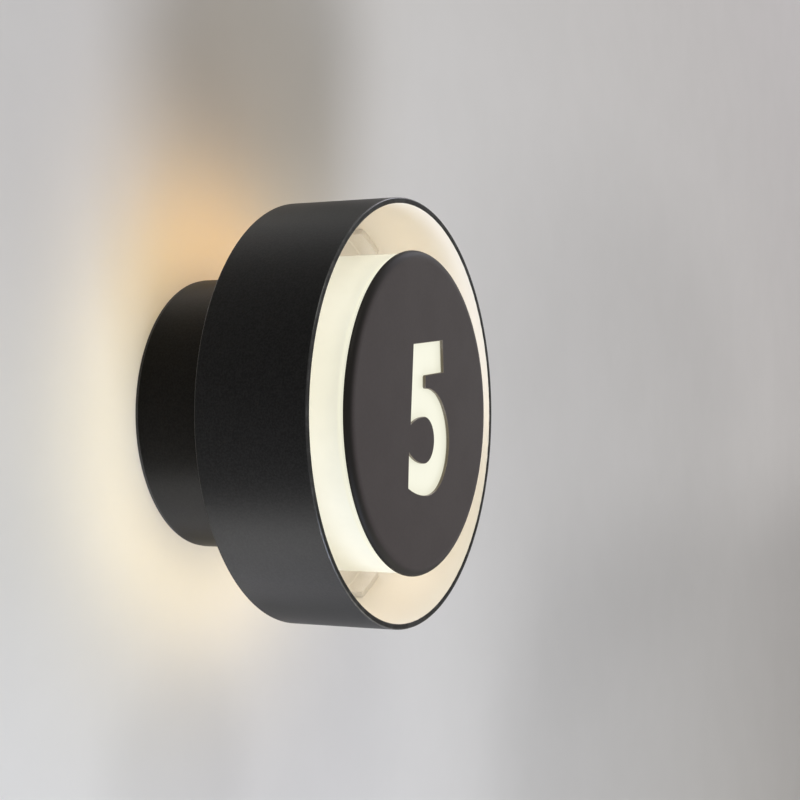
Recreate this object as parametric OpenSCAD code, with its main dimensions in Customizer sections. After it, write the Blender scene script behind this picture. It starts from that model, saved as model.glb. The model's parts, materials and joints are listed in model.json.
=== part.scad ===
// Round wall light for outdoors. A cylindrical base is fixed to the wall, a wide open shade ring
// stands in front of it, and an opal diffuser with a numbered face plate fills the middle.
// The origin is the centre of the wall face. +Z is up and the light faces -Y.
// A depth in this file is a distance out from the wall, so depth 10 is the plane y = -10.

/* [Shade ring] */
// Outside diameter of the shade ring
shade_d = 220; // [186:1:270]
// Wall thickness of the shade ring
shade_wall = 3; // [2:0.5:4]
// Depth of the shade ring, from its back edge to its front edge
shade_depth = 60; // [48:1:90]
// Radius on the rims of the shade ring
shade_rim_r = 0.7; // [0.3:0.1:0.9]
// Width of each arm that carries the shade ring
arm_w = 22; // [14:1:26]
// Angle of each arm from the horizontal
arm_turn = 63.5; // [52:0.5:66]
// Thickness of the arms and their hub
arm_t = 3; // [2:0.5:4]
// Length of the bent foot at the end of each arm
foot_l = 14; // [10:1:20]

/* [Wall base] */
// Outside diameter of the wall base
base_d = 144; // [142:1:182]
// Wall thickness of the wall base
base_wall = 3; // [2.5:0.5:4]
// Depth of the wall base, from the wall to the back edge of the shade
base_depth = 59; // [48:1:80]
// Thickness of the front wall of the base
base_front_t = 4; // [3:0.5:6]
// Radius on the front edge of the base
base_edge_r = 1; // [0.4:0.2:2]
// Height of the base's stiffening ribs
rib_h = 6; // [3:1:10]
// Thickness of the sealing ring between base and wall
gasket_t = 1.5; // [1:0.5:3]

/* [Diffuser and LED tray] */
// Outside diameter of the opal diffuser
diffuser_d = 163; // [150:1:200]
// Wall thickness of the diffuser
diffuser_wall = 3; // [2.5:0.5:4]
// Thickness of the tray floor
tray_t = 4; // [3:0.5:6]
// Height of the tray's collar
collar_h = 13; // [12:1:20]
// Number of bayonet lugs
lug_count = 3; // [2:1:4]
// Angle from locked to free
twist = 25; // [15:1:35]
// Angular width of each lug
lug_angle = 14; // [8:1:18]

/* [Face plate] */
// How far the face plate is wider than the diffuser, on each side
face_overhang = 1; // [0.5:0.5:3]
// Thickness of the sheet that the face plate is pressed from
face_sheet = 2; // [1.5:0.5:2.5]
// Radius on the outer edge of the face plate
face_edge_r = 5; // [4:0.5:6]
// How far the face plate stands out past the front edge of the shade
face_proud = 8; // [6:0.5:15]
// Height of the cut-out numeral
numeral_h = 80; // [60:1:100]
// How far the numeral sits right of the plate's centre
numeral_x = 6; // [-10:1:10]
// How far the numeral sits above the plate's centre
numeral_z = -2; // [-10:1:10]

/* [Wall bracket] */
// Thickness of the bracket plate
bracket_t = 2; // [1.5:0.5:3]
// Distance between the two wall screws
screw_spacing = 90; // [60:1:110]
// Width of the slots for the wall screws
slot_w = 5.5; // [4.5:0.5:6.5]
// Length of the slots for the wall screws, end to end
slot_l = 14; // [8:1:20]
// Width of the tabs that the base slides over
tab_w = 16; // [12:1:24]
// Reach of the tabs, out from the wall
tab_l = 16; // [14:1:24]
// Hole in the grommet for the supply cable
cable_d = 9; // [7:0.5:12]

/* [Screws] */
// Thread diameter of the screws that lock the base to the bracket
lock_d = 5; // [4:1:6]
// Length of the lock screws
lock_l = 8; // [6:1:10]
// Thread diameter of the screws that hold the tray, the arms and the base together
tray_screw_d = 5; // [4:1:6]

/* [Electrics] */
// Width of the LED driver
driver_w = 80; // [60:1:84]
// Height of the LED driver
driver_h = 38; // [28:1:40]
// Depth of the LED driver
driver_t = 24; // [18:1:30]
// Number of LEDs in the outer row
led_outer = 20; // [12:1:30]
// Number of LEDs in the inner row
led_inner = 10; // [6:1:16]

/* [Fits] */
// Gap between neighbours that do not touch
gap = 0.3; // [0.2:0.05:0.5]
// Radial clearance of a fit that turns or slides
fit = 0.05; // [0.02:0.01:0.1]

/* [Hidden] */
$fn = 96;
eps = 0.5;

shade_r = shade_d / 2;
shade_in_r = shade_r - shade_wall;
shade_back = base_depth;
shade_front = shade_back + shade_depth;

base_r = base_d / 2;
base_in_r = base_r - base_wall;
base_back = gasket_t;
base_front_in = base_depth - base_front_t;

bracket_gap = 2;
bracket_r = base_in_r - bracket_gap;
bracket_bend_r = 3;
tab_out = bracket_r - bracket_bend_r - 0.8;
tab_guide_t = 2.5;
tab_guide_front = 32;
lock_depth = 10;
lock_boss_r = lock_d;
lock_tip = tab_out + gap;
grommet_wall = 3.5;

hub_r = base_in_r;
hub_front = base_depth + arm_t;
tray_front = hub_front + tray_t;
arm_angles = [arm_turn, 180 - arm_turn, 180 + arm_turn, 360 - arm_turn];
gusset_angles = [18, 42, 138, 162, 198, 222, 318, 342];
pass_r = 9;

diffuser_r = diffuser_d / 2;
diffuser_in_r = diffuser_r - diffuser_wall;
diffuser_back = tray_front + gap;
face_r = diffuser_r + face_overhang;
face_front = shade_front + face_proud;
face_back = face_front - face_edge_r;
plate_back = face_front - face_sheet;
diffuser_front = face_back - 0.2;
spigot_r = face_r - face_sheet - gap;
spigot_front = plate_back - gap;
spigot_edge_r = face_edge_r - face_sheet - gap;
diffuser_front_in = diffuser_front - diffuser_wall;

collar_r = diffuser_in_r - 0.4;
collar_in_r = collar_r - 4.1;
seal_r = 1.2;
seal_seat_r = diffuser_in_r - fit - 2 * seal_r;
seal_depth = tray_front + 2.8;
lug_t = 3;
lug_depth = tray_front + collar_h - 5;
lug_in_r = collar_r - 2.3;
pocket_r = lug_in_r - 0.4;
lug_first = 30;
lug_angles = [for (i = [0:lug_count - 1]) lug_first + i * 360 / lug_count];

head_r = 0.95 * tray_screw_d;
boss_r = tray_screw_d;
boss_l = 12;
tray_screw_r = min(base_in_r - boss_r + 1, collar_in_r - head_r - 1.2);
board_r = tray_screw_r - head_r - 2.2;
board_t = 1.6;
board_front = tray_front + board_t;
board_hole_r = 6;
led_row_out = board_r - 8;
led_row_in = board_r * 0.5;
board_screw_r = (led_row_out + led_row_in) / 2;

driver_z = 9;
driver_mid_z = driver_z + driver_h / 2;
driver_back = base_front_in - driver_t;
ear_l = 8;
ear_t = 2.5;
ear_screw_r = 1.75;
ear_screw_x = (driver_w + ear_l) / 2;
small_screw_r = 1.5;
earth_screw_r = 2;
screw_hole_l = 3.2;
screw_bite = 3;
lead_grommet_r = 6;
block_w = 44;
block_h = 20;
block_t = 18;
block_z = -36;
block_back = base_front_in - block_t;
pole_pitch = 12;
lead_r = 1.1;
lead_pitch = 1.6;
connector_x = 10;
earth_x = -34;
earth_z = -42;
earth_lug_t = 0.8;

stud_r = 2;
stud_ring = diffuser_in_r - 18;
stud_angles = [90, 210, 330];

// Arcs of the numeral, in a box 50 wide and 80 high about its centre
numeral_box = 80;
bowl_c = [-2.2, -12.7];
bowl_r = 27.3;
tail_r = 58;
counter_c = [-5.6, -11.7];
counter_r = 12;
mouth_low_r = 32;
mouth_top_r = 38;

black = "#262626";
zinc = "#b9bcc0";

// Places its children in a plane parallel to the wall: x stays x, y becomes up, z becomes depth
module out(depth = 0) {
    rotate([90, 0, 0]) translate([0, 0, depth]) children();
}

// A disc or ring between two depths
module ring(r, hole_r, from, to) {
    out(from) difference() {
        cylinder(r = r, h = to - from);
        if (hole_r > 0) translate([0, 0, -eps]) cylinder(r = hole_r, h = to - from + 2 * eps);
    }
}

// A round rod along the depth, at x and z
module rod(x, z, r, from, to) {
    out(from) translate([x, z, 0]) cylinder(r = r, h = to - from);
}

// A block with its width along x and its height along z
module block(x, z, w, h, from, to) {
    out(from) translate([x - w / 2, z - h / 2, 0]) cube([w, h, to - from]);
}

// Turns a flat profile of radius and depth about the light's axis
module turned() {
    rotate([90, 0, 0]) rotate_extrude($fn = 180) children();
}

// A rectangle of radius and depth with the same radius on all corners
module soft_rect(r0, r1, d0, d1, r) {
    for (x = [r0 + r, r1 - r], y = [d0 + r, d1 - r]) translate([x, y]) circle(r = r, $fn = 24);
    translate([r0 + r, d0]) square([r1 - r0 - 2 * r, d1 - d0]);
    translate([r0, d0 + r]) square([r1 - r0, d1 - d0 - 2 * r]);
}

// A part of a ring between two angles, counted from x towards z
module sector(r0, r1, a0, a1, from, to) {
    out(from) rotate([0, 0, a0]) rotate_extrude(angle = a1 - a0, $fn = 180)
        translate([r0, 0]) square([r1 - r0, to - from]);
}

// A slot with round ends that runs along x
module slot(x, z, w, l, from, to) {
    for (side = [-1, 1]) rod(x + side * (l - w) / 2, z, w / 2, from, to);
    block(x, z, l - w, w, from, to);
}

// Points of an arc in the plate's plane
function arc(c, r, a0, a1, n = 12) =
    [for (i = [0:n]) let (a = a0 + (a1 - a0) * i / n) [c[0] + r * cos(a), c[1] + r * sin(a)]];

// A point on a smooth curve through four neighbours, t from 0 to 1 between the middle two
function curve_at(a, b, c, d, t) =
    0.5 * (2 * b + (c - a) * t + (2 * a - 5 * b + 4 * c - d) * t * t + (3 * b - a - 3 * c + d) * t * t * t);

// A smooth route through hand-picked points
function route(p, steps = 4) = [
    for (i = [0:len(p) - 2]) for (k = [0:steps - 1])
        curve_at(p[max(i - 1, 0)], p[i], p[i + 1], p[min(i + 2, len(p) - 1)], k / steps),
    p[len(p) - 1]
];

function unit(v) = v / norm(v);

// The part of v that is square to a direction, one long
function squared(v, dir) = unit(v - (v * dir) * dir);

// A round lead along a route, with eight sides, that is carried along without twisting
module lead(points, r = lead_r, sides = 8) {
    p = route(points);
    n = len(p);
    last = len(points) - 1;
    dir = [
        for (i = [0:n - 1])
            i == 0 ? unit(points[1] - points[0])
            : i == n - 1 ? unit(points[last] - points[last - 1])
            : unit(p[i + 1] - p[i - 1])
    ];
    side = [
        for (i = 0, s = squared([0.3, 0.5, 0.8], dir[0]); i < n;
            i = i + 1, s = squared(s, dir[min(i, n - 1)])) s
    ];
    skin = [
        for (i = [0:n - 1]) for (k = [0:sides - 1])
            p[i] + r * (cos(360 * k / sides) * side[i] + sin(360 * k / sides) * cross(dir[i], side[i]))
    ];
    walls = [
        for (i = [0:n - 2]) for (k = [0:sides - 1]) let (a = i * sides, b = (k + 1) % sides)
            for (f = [[a + k, a + sides + k, a + b], [a + b, a + sides + k, a + sides + b]]) f
    ];
    caps = [[for (k = [0:sides - 1]) k], [for (k = [0:sides - 1]) n * sides - 1 - k]];
    polyhedron(points = skin, faces = concat(walls, caps));
}

// Extrudes a profile of depth and height along x
module along_x(w) {
    mirror([0, 1, 0]) translate([-w / 2, 0, 0]) rotate([90, 0, 90]) linear_extrude(w) children();
}

// A block with rounded corners, seen from the front
module soft_block(x, z, w, h, r, from, to) {
    out(from) linear_extrude(to - from) translate([x - w / 2, z - h / 2]) soft_rect(0, w, 0, h, r);
}

// A screw whose head bears on a seat and whose shank runs out from the wall, or in towards it
module pan_screw(x, z, r, head_r, head_h, seat, tip) {
    way = tip > seat ? 1 : -1;
    head_end = seat - way * head_h;
    difference() {
        union() {
            rod(x, z, head_r, min(seat, head_end), max(seat, head_end));
            rod(x, z, r, min(seat, tip), max(seat, tip));
        }
        out(min(head_end, head_end + way * head_h / 2) - (way > 0 ? eps : 0)) translate([x, z, 0])
            cylinder(r = head_r * 0.5, h = head_h / 2 + eps, $fn = 6);
    }
}

// One bent tab of the bracket, above the centre
module bracket_tab() {
    bend_r = bracket_bend_r;
    intersection() {
        along_x(tab_w) {
            difference() {
                union() {
                    translate([0, tab_out - bend_r]) square([tab_l, bend_r]);
                    translate([0, tab_out - 2 * bend_r]) square([bracket_t + 1, 2 * bend_r]);
                }
                difference() {
                    translate([-eps, tab_out - bend_r]) square([bend_r + eps, bend_r + eps]);
                    translate([bend_r, tab_out - bend_r]) circle(r = bend_r);
                }
                translate([bracket_t + 1, tab_out - 3 * bend_r]) square([tab_l, 3 * bend_r - bracket_t]);
                translate([bracket_t + 1, tab_out - bracket_t - 1]) circle(r = 1);
                translate([bracket_t, tab_out - 3 * bend_r]) square([tab_l, 3 * bend_r - bracket_t - 1]);
            }
        }
        translate([0, 0, tab_out - 3 * bend_r]) mirror([0, 1, 0]) linear_extrude(4 * bend_r)
            soft_rect(-tab_w / 2, tab_w / 2, -2 * bend_r, tab_l, bend_r);
    }
}

// Plate that is screwed to the wall: a disc with two flats, and from each a bent tab that carries the base
module wall_bracket() {
    flat_z = tab_out - bracket_bend_r;
    color(zinc) {
        difference() {
            ring(bracket_r, cable_d / 2 + grommet_wall, 0, bracket_t);
            for (side = [-1, 1]) {
                slot(side * screw_spacing / 2, 0, slot_w, slot_l, -eps, bracket_t + eps);
                block(0, side * (flat_z + bracket_r), 2 * bracket_r, 2 * bracket_r, -eps, tab_l);
            }
            rod(earth_x, earth_z, earth_screw_r + fit, -eps, bracket_t + eps);
        }
        for (side = [0, 1]) mirror([0, 0, side]) bracket_tab();
    }
}

// Screw for the earth wire on the bracket
module bracket_earth_screw() {
    color("goldenrod") pan_screw(earth_x, earth_z, earth_screw_r, 4, 2.6, bracket_t, 0.2);
}

// Rubber bush that the supply cable comes in through
module cable_grommet() {
    bore_r = cable_d / 2;
    color("dimgray") turned() {
        translate([bore_r, gap]) square([grommet_wall - fit, bracket_t]);
        translate([bore_r, bracket_t]) square([6, 1.6]);
        polygon([[bore_r, bracket_t], [bore_r + 4, bracket_t], [bore_r + 1.5, 8], [bore_r, 8]]);
    }
}

// Sealing ring between the base and the wall
module wall_gasket() {
    color("dimgray") ring(base_r - 0.2, base_in_r + 0.2, 0, gasket_t);
}

// Profile of the base's side and front wall
module base_profile() {
    fillet = 2;
    translate([base_in_r, base_back]) square([base_wall, base_depth - base_edge_r - base_back]);
    translate([0, base_front_in]) square([base_r - base_edge_r, base_front_t]);
    translate([base_r - base_edge_r, base_depth - base_edge_r]) circle(r = base_edge_r);
    difference() {
        translate([base_in_r - fillet, base_front_in - fillet]) square(fillet + eps);
        translate([base_in_r - fillet, base_front_in - fillet]) circle(r = fillet);
    }
}

// Cast base that hides the bracket and holds the driver
module base_cup() {
    gusset_t = 2.5;
    bore_back = base_front_in - eps;
    bore_front = base_front_in + screw_hole_l;
    boss_back = base_front_in - boss_l;
    boss_low = tab_out + gap;
    guide_low = tab_out - bracket_bend_r;
    color(black) difference() {
        union() {
            turned() base_profile();
            for (a = arm_angles)
                rod(tray_screw_r * cos(a), tray_screw_r * sin(a), boss_r, boss_back, base_front_in + eps);
            for (a = gusset_angles) out() rotate([0, 0, a]) rotate([90, 0, 0])
                translate([0, 0, -gusset_t / 2]) linear_extrude(gusset_t) polygon([
                    [base_in_r + eps, base_front_in + eps], [base_in_r - rib_h, base_front_in + eps],
                    [base_in_r + eps, base_front_in - 2 * rib_h]
                ]);
            for (side = [0, 1]) mirror([0, 0, side]) {
                translate([0, -lock_depth, boss_low])
                    cylinder(r = lock_boss_r, h = base_in_r + eps - boss_low);
                for (x = [-1, 1]) block(
                    x * (tab_w / 2 + gap + tab_guide_t / 2), (guide_low + base_in_r) / 2,
                    tab_guide_t, base_in_r - guide_low, bracket_t + gap, tab_guide_front
                );
            }
        }
        for (a = arm_angles) out(boss_back + 3) translate([tray_screw_r * cos(a), tray_screw_r * sin(a), 0])
            cylinder(r = tray_screw_d / 2 + fit, h = base_depth - boss_back);
        for (side = [0, 1]) mirror([0, 0, side]) translate([0, -lock_depth, tab_out])
            cylinder(r = lock_d / 2 + fit, h = base_r - tab_out + eps);
        for (side = [-1, 1]) {
            rod(side * ear_screw_x, driver_mid_z, ear_screw_r + fit, bore_back, bore_front);
            rod(side * pole_pitch / 2, block_z, small_screw_r + fit, bore_back, bore_front);
        }
        rod(earth_x, earth_z, earth_screw_r + fit, bore_back, bore_front);
        rod(0, 0, lead_grommet_r, bore_back, base_depth + eps);
    }
}

// Grub screw that pinches a bracket tab through the side of the base
module lock_screw(side) {
    chamfer = 0.6;
    color("silver") mirror([0, 0, side]) translate([0, -lock_depth, lock_tip]) difference() {
        union() {
            cylinder(r1 = lock_d / 2 - chamfer, r2 = lock_d / 2, h = chamfer);
            translate([0, 0, chamfer]) cylinder(r = lock_d / 2, h = lock_l - chamfer);
        }
        translate([0, 0, lock_l - 3]) cylinder(r = lock_d * 0.28, h = 3 + eps, $fn = 6);
    }
}

module lock_screw_top() { lock_screw(0); }
module lock_screw_bottom() { lock_screw(1); }

// Supply unit for the LEDs, held by an ear at each end
module driver_case() {
    ear_h = 14;
    ear_back = base_front_in - ear_t;
    lid_depth = base_front_in - 5;
    mid = driver_mid_z;
    color("whitesmoke") {
        soft_block(0, mid, driver_w, driver_h, 3, driver_back, lid_depth);
        soft_block(0, mid, driver_w - 1, driver_h - 1, 3, lid_depth - eps, base_front_in);
        for (side = [-1, 1]) difference() {
            soft_block(side * (ear_screw_x - 1), mid, ear_l + 2, ear_h, 2, ear_back, base_front_in);
            rod(side * ear_screw_x, mid, ear_screw_r + 0.25, ear_back - eps, base_front_in + eps);
        }
    }
}

// Screws through the driver's ears
module driver_screws() {
    seat = base_front_in - ear_t;
    tip = base_front_in + screw_bite;
    color("silver") for (side = [-1, 1])
        pan_screw(side * ear_screw_x, driver_mid_z, ear_screw_r, 3.2, 2.2, seat, tip);
}

// Three-pole block that the supply cable is clamped in
module terminal_block() {
    color("ivory") difference() {
        soft_block(0, block_z, block_w, block_h, 1, block_back, base_front_in);
        for (pole = [-1, 0, 1], row = [-1, 1]) {
            rod(pole * pole_pitch, block_z + row * block_h / 4, 2.6, block_back - eps, block_back + 7);
            translate([pole * pole_pitch, -block_back - block_t / 2, block_z + row * block_h / 2])
                rotate([row > 0 ? 180 : 0, 0, 0]) translate([0, 0, -eps]) cylinder(r = 1.8, h = 5 + eps);
        }
        for (side = [-1, 1]) {
            rod(side * pole_pitch / 2, block_z, 1.6, block_back, base_front_in + eps);
            rod(side * pole_pitch / 2, block_z, 3, block_back - eps, block_back + 3);
        }
    }
}

// Clamping screws of the block, and the two that hold it
module terminal_screws() {
    seat = block_back + 3;
    tip = base_front_in + screw_bite;
    color("silver") {
        for (x = [-pole_pitch, 0, pole_pitch], row = [-1, 1])
            pan_screw(x, block_z + row * block_h / 4, small_screw_r, 2.5, 1.6, seat, seat + 4);
        for (side = [-1, 1]) pan_screw(side * pole_pitch / 2, block_z, small_screw_r, 2.8, 2, seat, tip);
    }
}

// Screw for the earth wire in the base, on the wire's ring lug
module housing_earth_screw() {
    tip = base_front_in + screw_bite;
    color("goldenrod") pan_screw(earth_x, earth_z, earth_screw_r, 4, 2.6, base_front_in - earth_lug_t, tip);
}

// Where a lead leaves the terminal block, at the middle of a pole
function pole_exit(pole, back = 0) =
    [pole * pole_pitch, -(block_back + block_t / 2), block_z + block_h / 2 - back];

// Earth wire from the block's middle pole to the base, with its ring lug
module earth_lead() {
    barrel_z = earth_z + 4.4;
    barrel_l = 3.6;
    crimp = [earth_x, -(base_front_in - lead_r - 0.1), barrel_z + barrel_l];
    color("yellowgreen") {
        lead([
            pole_exit(0, 4), pole_exit(0), pole_exit(0) + [-1, -1, 4], [-9, crimp[1] + 2.5, -18],
            [-20, crimp[1] + 1.5, -17], [-31, crimp[1] + 0.5, -21], crimp + [0, 0, 6], crimp
        ]);
        block(earth_x, barrel_z + barrel_l / 2, 3, barrel_l, base_front_in - 2 * lead_r, base_front_in);
        difference() {
            union() {
                rod(earth_x, earth_z, 4, base_front_in - earth_lug_t, base_front_in);
                block(earth_x, earth_z + 3, 3, 4, base_front_in - earth_lug_t, base_front_in);
            }
            rod(earth_x, earth_z, earth_screw_r + 0.2, base_front_in - 1, base_front_in + eps);
        }
    }
}

// Live and neutral wires from the block to the driver
module mains_leads() {
    level = -(block_back + block_t / 2);
    color("saddlebrown") lead([
        pole_exit(-1, 4), pole_exit(-1), pole_exit(-1) + [0, 0, 5], [-20, level, -8], [-30, level, 1],
        [-30, level, driver_z - 3], [-30, level, driver_z]
    ]);
    color("steelblue") lead([
        pole_exit(1, 4), pole_exit(1), pole_exit(1) + [0, 0, 4], [3, level, -14], [-13, level, -8],
        [-22, level, -1], [-22, level, driver_z - 3], [-22, level, driver_z]
    ]);
}

// Where an LED lead runs straight: through the base and the tray, then into the board's connector
function lead_end(z) = [
    [0, 7 - base_front_in, z], [0, 3.5 - base_front_in, z], [0, -hub_front, z], [0, 1 - board_front, z],
    for (share = [0.4, 0.7, 1]) [share * connector_x, -board_front - 2.6, z]
];

// The pair from the driver through the base and the tray to the LED board
module led_leads() {
    level = -(driver_back + driver_t / 2);
    color("firebrick") lead(concat([
        [26, level, driver_z], [26, level, driver_z - 3], [24, level, 1],
        [17, level, -3], [9, level, -2], [3, level - 2, 0.5]
    ], lead_end(lead_pitch)));
    color("darkslategray") lead(concat([
        [31, level, driver_z], [31, level, driver_z - 3], [29, level, -3],
        [20, level, -9], [10, level, -8], [3, level - 2, -4.5]
    ], lead_end(-lead_pitch)));
}

// Rubber bush that the LED leads pass through
module lead_grommet() {
    lip_r = lead_grommet_r + 2;
    color("dimgray") difference() {
        union() {
            ring(lead_grommet_r - fit, 0, base_front_in, base_depth);
            ring(lip_r, 0, base_front_in - 2, base_front_in);
            ring(lip_r, 0, base_depth, base_depth + 2);
        }
        for (side = [-1, 1]) rod(0, side * lead_pitch, lead_r + 0.1, base_front_in - 3, base_depth + 3);
    }
}

// Short tube, open at both ends
module shade_ring() {
    color(black) turned() soft_rect(shade_in_r, shade_r, shade_back, shade_front, shade_rim_r);
}

// Clearance holes for the tray screws
module tray_screw_holes(from, to) {
    for (a = arm_angles)
        rod(tray_screw_r * cos(a), tray_screw_r * sin(a), tray_screw_d / 2 + 0.3, from, to);
}

// Hub and arms cut from one sheet, with bent feet welded inside the shade ring
module shade_arms() {
    weld = 0.1;
    bend_r = arm_t + 1;
    tip_r = shade_in_r - weld;
    color("linen") {
        difference() {
            ring(hub_r, pass_r, base_depth, hub_front);
            tray_screw_holes(base_depth - eps, hub_front + eps);
        }
        intersection() {
            turned() {
                translate([hub_r - 1, base_depth]) square([tip_r - bend_r - hub_r + 1, arm_t]);
                translate([tip_r - arm_t, base_depth + bend_r]) square([arm_t, foot_l - bend_r]);
                intersection() {
                    translate([tip_r - bend_r, base_depth + bend_r]) difference() {
                        circle(r = bend_r);
                        circle(r = bend_r - arm_t);
                    }
                    translate([tip_r - bend_r, base_depth]) square(bend_r);
                }
            }
            out(base_depth - eps) for (a = arm_angles) rotate([0, 0, a])
                translate([hub_r - 2, -arm_w / 2, 0]) cube([shade_r - hub_r, arm_w, foot_l + 2 * eps]);
        }
    }
}

// Screws that clamp the tray and the arms to the base
module tray_screws() {
    tip = base_front_in - boss_l + 4;
    r = tray_screw_r;
    color("silver") for (a = arm_angles)
        pan_screw(r * cos(a), r * sin(a), tray_screw_d / 2, head_r, 2.8, tray_front, tip);
}

// Holes for the board's screws, up to the front of the board
module board_screw_holes(r, from) {
    for (a = arm_angles) rod(board_screw_r * cos(a), board_screw_r * sin(a), r, from, board_front + eps);
}

// Dished tray with a collar that carries the seal and the bayonet pockets
module led_tray() {
    rim_r = 0.8;
    slack = 0.4;
    pocket_low = lug_depth - lug_t / 2 - gap;
    pocket_high = lug_depth + lug_t / 2 + gap;
    collar_front = tray_front + collar_h;
    lock_end = -lug_angle / 2 - slack;
    free_end = twist + lug_angle / 2 + slack;
    mouth_start = twist - lug_angle / 2 - slack;
    mouth_r = pocket_r - 0.3;
    color("white") difference() {
        turned() {
            soft_rect(pass_r, diffuser_r, hub_front, tray_front, rim_r);
            translate([pass_r, hub_front]) square([hub_r - pass_r, tray_t]);
            translate([collar_in_r, tray_front - eps]) square([collar_r - collar_in_r, collar_h + eps]);
        }
        turned() translate([seal_seat_r - fit, seal_depth - seal_r - 0.2]) square([10, 2 * seal_r + 0.4]);
        for (a = lug_angles) {
            sector(pocket_r, collar_r + 2, a + lock_end, a + free_end, pocket_low, pocket_high);
            sector(mouth_r, collar_r + 2, a + mouth_start, a + free_end + 1, lug_depth, collar_front + eps);
        }
        tray_screw_holes(hub_front - eps, tray_front + eps);
        board_screw_holes(small_screw_r + fit, tray_front - 3);
    }
}

// Sealing ring in the collar's groove
module tray_seal() {
    color("dimgray") turned() translate([seal_seat_r + seal_r, seal_depth]) circle(r = seal_r, $fn = 32);
}

// Round circuit board
module led_board() {
    color("white") difference() {
        ring(board_r, board_hole_r, tray_front, board_front);
        board_screw_holes(small_screw_r + 0.2, tray_front - eps);
    }
}

// Screws that clamp the board to the tray
module board_screws() {
    tip = tray_front - 2.8;
    r = board_screw_r;
    color("silver") for (a = arm_angles)
        pan_screw(r * cos(a), r * sin(a), small_screw_r, 2.75, 2, board_front, tip);
}

// LEDs in two rows
module leds() {
    w = 3.5;
    h = 0.8;
    color("khaki") out(board_front)
        for (row = [[led_outer, led_row_out], [led_inner, led_row_in]], i = [0:row[0] - 1])
            rotate([0, 0, (i + 0.5) * 360 / row[0]]) translate([row[1], 0, 0]) difference() {
                translate([-w / 2, -w / 2, 0]) cube([w, w, h]);
                translate([0, 0, h - 0.15]) cylinder(r = w * 0.38, h = 1);
            }
}

// Plug-in connector for the LED leads
module board_connector() {
    color("ivory") difference() {
        block(connector_x + 4, 0, 8, 8, board_front, board_front + 4.6);
        block(connector_x + 6.5, 0, 4, 5.6, board_front + 3.6, board_front + 5);
    }
}

// Half of a disc or a cup's inside, with the outer front corner rounded
module cup_profile(r, from, to, corner_r) {
    translate([0, from]) square([r, to - corner_r - from]);
    translate([0, from]) square([r - corner_r, to - from]);
    translate([r - corner_r, to - corner_r]) circle(r = corner_r, $fn = 32);
}

// Opal cup with bayonet lugs inside its mouth
module diffuser() {
    color([1, 0.97, 0.87]) difference() {
        union() {
            turned() {
                difference() {
                    cup_profile(diffuser_r, diffuser_back, diffuser_front, 0.6);
                    translate([-eps, 0])
                        cup_profile(diffuser_in_r + eps, diffuser_back - eps, diffuser_front_in, 3);
                }
                cup_profile(spigot_r, diffuser_front - eps, spigot_front, spigot_edge_r);
            }
            for (a = lug_angles) sector(
                lug_in_r, diffuser_in_r + eps, a - lug_angle / 2, a + lug_angle / 2,
                lug_depth - lug_t / 2, lug_depth + lug_t / 2
            );
        }
        for (a = stud_angles) rod(
            stud_ring * cos(a), stud_ring * sin(a), stud_r + 0.3, diffuser_front_in - eps, spigot_front + eps
        );
    }
}

// Outline of the numeral, drawn in a box 50 wide and 80 high about its centre
function numeral_points() = concat(
    // sloping top bar and the notch below it
    [[-18.5, 36.8], [16.8, 40], [18, 23.5], [-4.6, 21.4], [-4.6, 14.7]],
    // round right side of the bowl, down to the baseline
    arc(bowl_c, bowl_r, 90 - 5, -90, 32),
    // long flat arc to the tip of the tail
    arc([bowl_c[0], bowl_c[1] - bowl_r + tail_r], tail_r, -90, -90 - 23, 8),
    // inside of the tail, the round counter and the underside of the stem
    arc([counter_c[0], counter_c[1] - counter_r + mouth_low_r], mouth_low_r, -90 - 35, -90, 8),
    arc(counter_c, counter_r, -90, 90, 24),
    arc([counter_c[0], counter_c[1] + counter_r - mouth_top_r], mouth_top_r, 90, 90 + 25.5, 8)
);

// Pressed disc with a rounded edge and the numeral cut through it
module face_plate() {
    color([0.31, 0.29, 0.28]) difference() {
        turned() {
            translate([0, plate_back]) square([face_r - face_edge_r, face_sheet]);
            translate([face_r - face_edge_r, face_back]) intersection() {
                difference() {
                    circle(r = face_edge_r);
                    circle(r = face_edge_r - face_sheet);
                }
                square(face_edge_r);
            }
        }
        out(plate_back - eps) translate([numeral_x, numeral_z, 0]) linear_extrude(face_sheet + 2 * eps)
            polygon(numeral_points() * (numeral_h / numeral_box));
    }
}

// Threaded studs welded to the back of the face plate
module face_studs() {
    color("silver") for (a = stud_angles)
        rod(stud_ring * cos(a), stud_ring * sin(a), stud_r, diffuser_front_in - 6, plate_back);
}

// Flange nuts that hold the face plate from inside the diffuser
module face_nuts() {
    flange_t = 1;
    nut_h = 4.2;
    seat = diffuser_front_in;
    color("silver") for (a = stud_angles) difference() {
        out(seat - nut_h) translate([stud_ring * cos(a), stud_ring * sin(a), 0]) {
            translate([0, 0, nut_h - flange_t]) cylinder(r = 2.4 * stud_r, h = flange_t);
            cylinder(r = 2.02 * stud_r, h = nut_h - flange_t / 2, $fn = 6);
        }
        rod(stud_ring * cos(a), stud_ring * sin(a), stud_r + fit, seat - nut_h - eps, seat + eps);
    }
}

wall_bracket();
bracket_earth_screw();
cable_grommet();
wall_gasket();
base_cup();
lock_screw_top();
lock_screw_bottom();
driver_case();
driver_screws();
terminal_block();
terminal_screws();
housing_earth_screw();
earth_lead();
mains_leads();
led_leads();
lead_grommet();
shade_ring();
shade_arms();
tray_screws();
led_tray();
tray_seal();
led_board();
board_screws();
leds();
board_connector();
diffuser();
face_plate();
face_studs();
face_nuts();
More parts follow.
